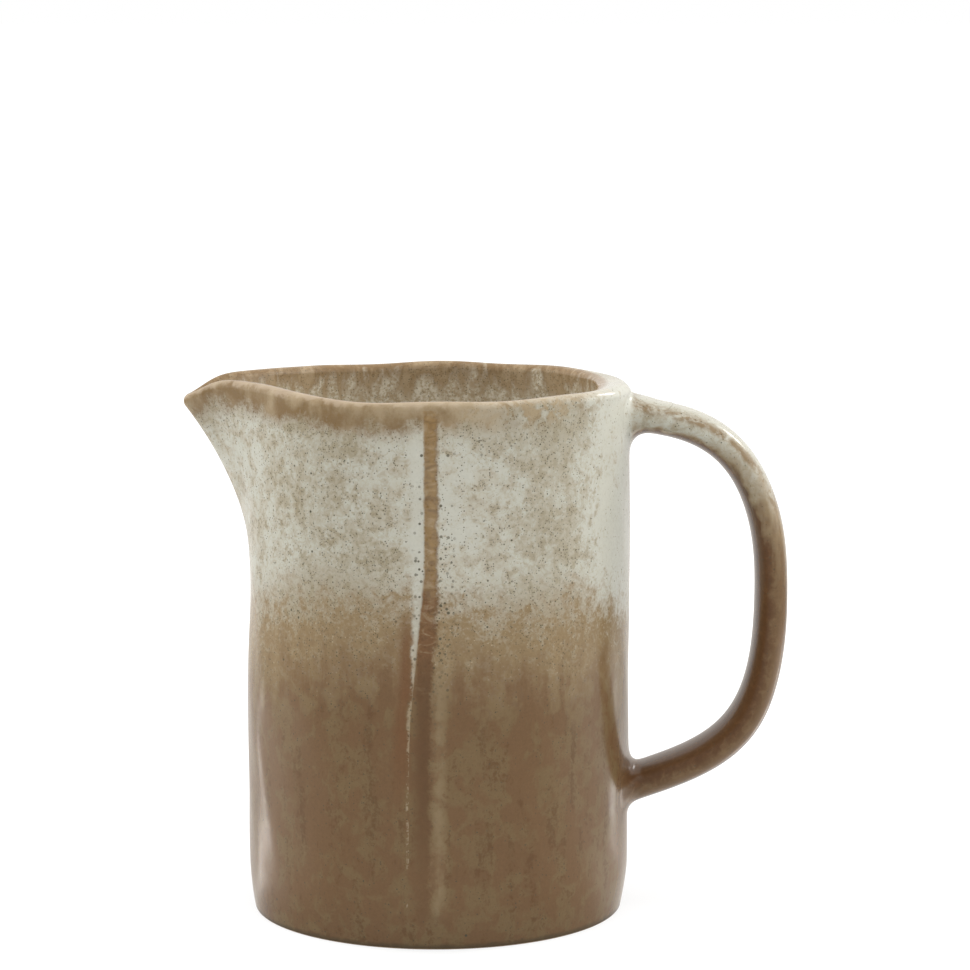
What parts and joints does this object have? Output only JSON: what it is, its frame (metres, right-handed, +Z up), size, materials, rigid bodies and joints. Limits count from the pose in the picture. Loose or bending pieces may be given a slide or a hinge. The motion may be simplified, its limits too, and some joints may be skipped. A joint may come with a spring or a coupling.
{
  "type": "stoneware jug",
  "caption": "Hand-built stoneware pouring jug: straight round wall with a lapped seam, beak spout, D-shaped strap handle and foot ring, glazed cream over brown.",
  "frame": {"origin": "centre of the foot ring, on the surface the jug stands on", "axes": "+Z up along the wall's axis, +X towards the handle, -X towards the spout, -Y towards the wall's seam"},
  "size_m": [0.171, 0.1093, 0.1517],
  "materials": {
    "wall_glaze": "glossy reactive glaze, cream over brown",
    "inside_glaze": "glossy speckled glaze",
    "seam_glaze": "glossy amber glaze, broken over the ridge",
    "handle_glaze": "glossy dark brown glaze",
    "foot": "glazed heel with a bare foot ring"
  },
  "bodies": {
    "root": {"base_slab": "foot", "base_coil": "inside_glaze", "wall_slab": "wall_glaze", "seam_strip": "seam_glaze", "spout": "wall_glaze", "handle": "handle_glaze", "handle_top_collar": "wall_glaze", "handle_bottom_collar": "handle_glaze"}
  },
  "joints": []
}
